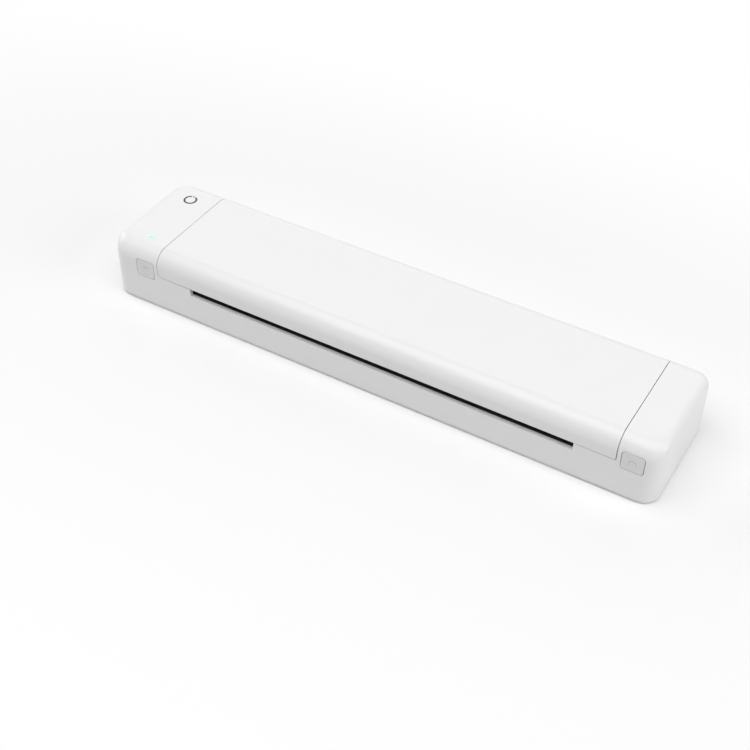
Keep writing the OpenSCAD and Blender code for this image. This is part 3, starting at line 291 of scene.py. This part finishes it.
CASE_WHITE = (0.86, 0.86, 0.857)
MATERIALS = {
    "case_white": surface("case_white", CASE_WHITE, 0.3, grain=(2600, 0.006), mottle=0.012),
    "button_white": engraved_shade_marks(
        "button_white", (0.775, 0.775, 0.773), 0.34,
        rings=[(145.5, 23.6, 1.7, 0.16), (-136.2, 23.7, 0.75, 0.15)],
        dots=[
            (143.7, 22.7, 0.22), (147.3, 22.7, 0.22), (145.5, 23.7, 0.22),
            (-137.9, 24.0, 0.22), (-136.2, 23.6, 0.2),
        ],
    ),
    "foot_rubber": surface("foot_rubber", (0.035, 0.035, 0.036), 0.8, grain=(1500, 0.03), mottle=0.2),
    "mark_grey": surface("mark_grey", (0.035, 0.03, 0.028), 0.4),
    "light_green": glowing("light_green", (0.32, 0.86, 0.62), 0.35),
    "inner_dark": surface("inner_dark", (0.042, 0.042, 0.044), 0.45, grain=(2200, 0.02), mottle=0.15),
    "screw_steel": surface("screw_steel", (0.48, 0.48, 0.5), 0.35, 1.0, grain=(1500, 0.01)),
    "pin_steel": surface("pin_steel", (0.58, 0.58, 0.6), 0.22, 1.0, grain=(900, 0.004), stretch=(0.2, 1, 1)),
    "spring_steel": surface("spring_steel", (0.5, 0.5, 0.51), 0.28, 1.0, grain=(1200, 0.006)),
    "bushing_plastic": surface("bushing_plastic", (0.35, 0.24, 0.1), 0.45),
    "bracket_steel": surface(
        "bracket_steel", (0.6, 0.62, 0.62), 0.38, 1.0, grain=(700, 0.01), stretch=(1, 0.15, 1),
    ),
    "motor_can": surface("motor_can", (0.55, 0.55, 0.56), 0.3, 1.0, grain=(800, 0.008), stretch=(0.2, 1, 1)),
    "gear_plastic": surface("gear_plastic", (0.78, 0.75, 0.66), 0.4, grain=(1600, 0.01), mottle=0.05),
    "pinion_brass": surface("pinion_brass", (0.72, 0.5, 0.2), 0.25, 1.0, grain=(1200, 0.006)),
    "roller_rubber": surface(
        "roller_rubber", (0.022, 0.022, 0.024), 0.72, grain=(2400, 0.02), stretch=(0.3, 1, 1),
    ),
    "board_green": circuit_board("board_green"),
    "chip_black": surface("chip_black", (0.02, 0.02, 0.021), 0.5, grain=(3000, 0.015), mottle=0.2),
    "socket_steel": surface(
        "socket_steel", (0.65, 0.65, 0.66), 0.25, 1.0, grain=(900, 0.004), stretch=(0.2, 1, 1),
    ),
    "battery_wrap": surface("battery_wrap", (0.03, 0.13, 0.42), 0.3, grain=(160, 0.12), mottle=0.15),
    "wire_red": surface("wire_red", (0.5, 0.03, 0.02), 0.4),
    "ribbon_white": striped("ribbon_white", (0.75, 0.75, 0.72), (0.5, 0.5, 0.48), 1.25 * MM, 0.45),
    "flex_amber": striped("flex_amber", (0.55, 0.24, 0.04), (0.72, 0.42, 0.12), 0.5 * MM, 0.3),
    "pad_foam": surface("pad_foam", (0.08, 0.08, 0.085), 0.9, grain=(1800, 0.08), mottle=0.3),
    "sink_aluminium": surface(
        "sink_aluminium", (0.68, 0.69, 0.7), 0.33, 1.0, grain=(1500, 0.01), stretch=(0.02, 1, 1),
    ),
    "ceramic_white": ceramic_strip("ceramic_white"),
}


def dress_nodes(frame):
    """Gives each CAD node the material of its slot and smooth shading over its curves."""
    for part in frame["record"]["subparts"]:
        obj = frame["nodes"][part["node"]]
        obj.data.materials.clear()
        obj.data.materials.append(MATERIALS[part["material_slot"]])
        for polygon in obj.data.polygons:
            polygon.material_index = 0
        shade_smooth(obj)


def shade_smooth(obj):
    """Shades faces that meet at a small angle as one curve. The vertices stay as they are."""
    mesh = obj.data
    at = {}
    for polygon in mesh.polygons:
        for vertex in polygon.vertices:
            key = tuple(round(c, 7) for c in mesh.vertices[vertex].co)
            at.setdefault(key, []).append((polygon.normal.copy(), polygon.area))
    limit = math.cos(SMOOTH_ANGLE)
    normals = []
    for polygon in mesh.polygons:
        for vertex in polygon.vertices:
            key = tuple(round(c, 7) for c in mesh.vertices[vertex].co)
            total = Vector()
            for normal, area in at[key]:
                if normal.dot(polygon.normal) > limit:
                    total += normal * area
            normals.append(total.normalized() if total.length > 0 else polygon.normal)
    mesh.polygons.foreach_set("use_smooth", [True] * len(mesh.polygons))
    mesh.normals_split_custom_set(normals)


# ---------------------------------------------------------------- pieces

def mesh_piece(name, mesh, body, slot, *replaced):
    """Adds a mesh as a piece with the finish of a slot. Without a body it is left free."""
    obj = bpy.data.objects.new(name, mesh)
    bpy.context.scene.collection.objects.link(obj)
    obj.data.materials.append(MATERIALS[slot])
    if body:
        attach(obj, body)
    if replaced:
        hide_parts(*replaced)
    return obj


def rounded_path(points, reach, step):
    """Points along a line with rounded corners, never further apart than a step."""
    path = [Vector(points[0])]

    def run_to(end):
        start = path[-1].copy()
        count = max(1, math.ceil((end - start).length / step))
        path.extend(start.lerp(end, k / count) for k in range(1, count + 1))

    for before, corner, after in zip(points, points[1:], points[2:]):
        before, corner, after = Vector(before), Vector(corner), Vector(after)
        back, ahead = before - corner, after - corner
        low = corner + back.normalized() * min(reach, back.length / 2)
        high = corner + ahead.normalized() * min(reach, ahead.length / 2)
        run_to(low)
        path.extend(low.lerp(corner, t).lerp(corner.lerp(high, t), t) for t in (k / 6 for k in range(1, 7)))
    run_to(Vector(points[-1]))
    return path


def tube(bm, path, radius, sides=10):
    """Adds a round tube along a path that lies in a plane of constant X."""
    side = Vector((1, 0, 0))
    rings = []
    for i, point in enumerate(path):
        along = (path[min(i + 1, len(path) - 1)] - path[max(i - 1, 0)]).normalized()
        up = along.cross(side)
        rings.append([
            bm.verts.new(point + radius * (side * math.cos(a) + up * math.sin(a)))
            for a in (2 * math.pi * k / sides for k in range(sides))
        ])
    for low, high in zip(rings, rings[1:]):
        for k in range(sides):
            bm.faces.new((low[k], low[(k + 1) % sides], high[(k + 1) % sides], high[k]))
    bm.faces.new(reversed(rings[0]))
    bm.faces.new(rings[-1])


def ribbon(bm, path, x0, x1, thickness, columns=12):
    """Adds a flat strip along a path in Y and Z, between two places in X."""
    rows = []
    for i, point in enumerate(path):
        along = (path[min(i + 1, len(path) - 1)] - path[max(i - 1, 0)]).normalized()
        up = Vector((1, 0, 0)).cross(along) * thickness / 2
        low = [point + Vector((x0 + (x1 - x0) * k / columns, 0, 0)) - up for k in range(columns + 1)]
        high = [point + Vector((x0 + (x1 - x0) * k / columns, 0, 0)) + up for k in range(columns, -1, -1)]
        rows.append([bm.verts.new(p) for p in low + high])
    count = len(rows[0])
    for a, b in zip(rows, rows[1:]):
        for k in range(count):
            bm.faces.new((a[k], a[(k + 1) % count], b[(k + 1) % count], b[k]))
    bm.faces.new(reversed(rows[0]))
    bm.faces.new(rows[-1])


def finished(name, bm):
    """Closes a bmesh into a smooth-shaded mesh."""
    bmesh.ops.recalc_face_normals(bm, faces=bm.faces)
    mesh = bpy.data.meshes.new(name)
    bm.to_mesh(mesh)
    bm.free()
    for polygon in mesh.polygons:
        polygon.use_smooth = True
    return mesh


def lay_cables():
    """Gives the cables round wires, tracks and soft bends, along the lines that the CAD cables take."""
    to_board = [(0, -9, 3.3), (0, -12.4, 7.7), (0, -14.6, 8.1)]
    bm = bmesh.new()
    points = [Vector(p) * MM for p in [(0, 18, 24.3), (0, 18, 5.8), (0, 15.5, 3.3)] + to_board]
    path = rounded_path(points, 2.5 * MM, 0.8 * MM)
    ribbon(bm, path, HEAD_FLEX_X[0] * MM, HEAD_FLEX_X[1] * MM, HEAD_FLEX_THICKNESS * MM)
    flex = mesh_piece("head_flex", finished("head_flex", bm), None, "flex_amber", "head_cable_lower")
    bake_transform(flex)

    points = [Vector(p) * MM for p in [(0, 7.3, 4.8), (0, 3.5, 3.3)] + to_board]
    path = rounded_path(points, 2 * MM, 3 * MM)
    for name, x, slot, replaced in BATTERY_LEADS:
        bm = bmesh.new()
        tube(bm, [p + Vector((x * MM, 0, 0)) for p in path], BATTERY_LEAD_R * MM)
        mesh_piece(name, finished(name, bm), "base", slot, *replaced)

    points = [Vector(p) * MM for p in [(0, 9.2, 6.98), (0, 6.2, 3.3)] + to_board]
    path = rounded_path(points, 2 * MM, 3 * MM)
    bm = bmesh.new()
    for k in range(MOTOR_LEAD_COUNT):
        x = MOTOR_LEAD_X + MOTOR_LEAD_PITCH * k
        tube(bm, [p + Vector((x * MM, 0, 0)) for p in path], MOTOR_LEAD_R * MM)
    mesh_piece("motor_leads", finished("motor_leads", bm), "base", "ribbon_white", "motor_cable")


def coil(bm, low, high, axis, wire, turns=7, sides=8, steps=20):
    """Adds a compression spring whose end turns lie closed, inside a box, along one of its axes."""
    along = Vector([1.0 if k == axis else 0.0 for k in range(3)])
    across = [Vector([1.0 if k == i else 0.0 for k in range(3)]) for i in range(3) if i != axis]
    middle = (low + high) / 2
    radius = (high - low).dot(across[0]) / 2 - wire
    length = high[axis] - low[axis] - 2 * wire
    closed = CLOSED_RISE * wire
    rise = (length - 2 * closed) / (turns - 2)
    path = []
    for k in range(turns * steps + 1):
        turn = k / steps
        height = min(turn, 1) * closed + max(0, min(turn, turns - 1) - 1) * rise
        height += max(0, turn - turns + 1) * closed
        outward = across[0] * math.cos(2 * math.pi * turn) + across[1] * math.sin(2 * math.pi * turn)
        path.append((middle + radius * outward + along * (height - length / 2), outward))
    rings = []
    for k, (point, outward) in enumerate(path):
        ahead = (path[min(k + 1, len(path) - 1)][0] - path[max(k - 1, 0)][0]).normalized()
        up = ahead.cross(outward)
        rings.append([
            bm.verts.new(point + wire * (outward * math.cos(a) + up * math.sin(a)))
            for a in (2 * math.pi * j / sides for j in range(sides))
        ])
    for one, two in zip(rings, rings[1:]):
        for j in range(sides):
            bm.faces.new((one[j], one[(j + 1) % sides], two[(j + 1) % sides], two[j]))
    bm.faces.new(reversed(rings[0]))
    bm.faces.new(rings[-1])


def islands(obj, gap):
    """Boxes of the groups of vertices that lie apart along X, in the row frame."""
    points = sorted((obj.matrix_world @ v.co for v in obj.data.vertices), key=lambda p: p.x)
    groups = [[points[0]]]
    for point in points[1:]:
        if point.x - groups[-1][-1].x > gap:
            groups.append([])
        groups[-1].append(point)
    return [(Vector(map(min, *g)), Vector(map(max, *g))) for g in groups]


def wind_springs(frame):
    """Winds round steel springs in the places of the CAD springs."""
    for node, axis, wire, fixed, moved in SPRINGS:
        boxes = islands(frame["nodes"][node], SPRING_GAP)
        bm = bmesh.new()
        for low, high in boxes:
            coil(bm, low, high, axis, wire * MM)
        name = node.replace("spring", "coil")
        piece = mesh_piece(name, finished(name, bm), None, "spring_steel", node)
        low, high = boxes[0]
        end = high.copy()
        end[axis] = low[axis]
        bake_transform(piece)


# ---------------------------------------------------------------- stage

def place_camera():
    """Puts the camera where the photograph was taken from."""
    turn, height, roll = (math.radians(a) for a in (CAMERA_TURN, CAMERA_HEIGHT_ANGLE, CAMERA_ROLL))
    back = Vector((math.sin(turn) * math.cos(height), -math.cos(turn) * math.cos(height), math.sin(height)))
    right = (-back).cross(Vector((0, 0, 1))).normalized()
    up = right.cross(-back)
    right_rolled = math.cos(roll) * right + math.sin(roll) * up
    up_rolled = -math.sin(roll) * right + math.cos(roll) * up
    camera = bpy.data.objects.new("camera", bpy.data.cameras.new("camera"))
    camera.data.lens = CAMERA_LENS
    camera.data.sensor_width = SENSOR_WIDTH
    camera.data.clip_start = NEAR_LIMIT
    axes = Matrix((right_rolled, up_rolled, back)).transposed().to_4x4()
    camera.matrix_world = Matrix.Translation(CAMERA_AT) @ axes
    bpy.context.scene.collection.objects.link(camera)
    bpy.context.scene.camera = camera


def softbox(name, at, target, size, power, along):
    """Rectangular soft light that faces a point, with its first side along a direction."""
    light = bpy.data.lights.new(name, "AREA")
    light.shape = "RECTANGLE"
    light.size, light.size_y = size
    light.energy = power
    back = (Vector(at) - Vector(target)).normalized()
    up = back.cross(Vector(along)).normalized()
    obj = bpy.data.objects.new(name, light)
    obj.matrix_world = Matrix.Translation(at) @ Matrix((up.cross(back), up, back)).transposed().to_4x4()
    bpy.context.scene.collection.objects.link(obj)


def seen_directly(tree):
    """Factor of 1 for rays that show the background: from the camera, off a gloss or through a clear piece."""
    path = add_node(tree, "ShaderNodeLightPath")
    total = add_node(
        tree, "ShaderNodeMath", {"operation": "ADD"},
        {0: path.outputs["Is Camera Ray"], 1: path.outputs["Is Glossy Ray"]},
    ).outputs[0]
    return add_node(
        tree, "ShaderNodeMath", {"operation": "ADD", "use_clamp": True},
        {0: total, 1: path.outputs["Is Transmission Ray"]},
    ).outputs[0]


def light_scene():
    """Lights the object from soft lights, before a background that is seen as white."""
    scene = bpy.context.scene
    scene.view_settings.view_transform = "Standard"
    scene.cycles.use_denoising = True
    world = bpy.data.worlds.new("studio")
    world.use_nodes = True
    tree = world.node_tree
    background = tree.nodes["Background"]
    background.inputs["Color"].default_value = (1, 1, 1, 1)
    strength = between(tree, seen_directly(tree), WORLD_ON_OBJECT, WORLD_SEEN)
    tree.links.new(strength, background.inputs["Strength"])
    scene.world = world
    for lamp in LAMPS:
        softbox(*lamp)


def lay_floor():
    """White floor that keeps the shadow near the object and is plain white further away."""
    mesh = bpy.data.meshes.new("floor")
    corners = [(x * FLOOR_HALF, y * FLOOR_HALF, 0) for x, y in ((-1, -1), (1, -1), (1, 1), (-1, 1))]
    mesh.from_pydata(corners, [], [(0, 1, 2, 3)])
    floor = bpy.data.objects.new("floor", mesh)
    white = surface("paper_white", (FLOOR_TONE, FLOOR_TONE, FLOOR_TONE), 0.9, grain=(300, 0.0), mottle=0.0)
    tree = white.node_tree
    seen = seen_directly(tree)
    lift = add_node(
        tree, "ShaderNodeEmission", {"Color": (1, 1, 1, 1)}, {"Strength": between(tree, seen, 0.0, FLOOR_LIFT)}
    ).outputs[0]
    near = add_node(
        tree, "ShaderNodeAddShader", {}, {0: tree.nodes["Principled BSDF"].outputs[0], 1: lift}
    ).outputs[0]
    distance = add_node(
        tree, "ShaderNodeVectorMath", {"operation": "LENGTH"}, {0: object_coordinates(tree, FADE_STRETCH)}
    ).outputs["Value"]
    fade = add_node(
        tree, "ShaderNodeMapRange",
        {"interpolation_type": "SMOOTHSTEP", "From Min": FADE_START, "From Max": FADE_END}, {"Value": distance},
    ).outputs["Result"]
    factor = add_node(tree, "ShaderNodeMath", {"operation": "MULTIPLY"}, {0: fade, 1: seen}).outputs[0]
    far = add_node(tree, "ShaderNodeEmission", {"Color": (1, 1, 1, 1), "Strength": 1.0}).outputs[0]
    mix = add_node(tree, "ShaderNodeMixShader", {}, {0: factor, 1: near, 2: far}).outputs[0]
    tree.links.new(mix, tree.nodes["Material Output"].inputs["Surface"])
    mesh.materials.append(white)
    bpy.context.scene.collection.objects.link(floor)


def main():
    """Builds the scene."""
    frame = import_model()
    dress_nodes(frame)
    lay_cables()
    wind_springs(frame)
    place_camera()
    light_scene()
    lay_floor()


main()
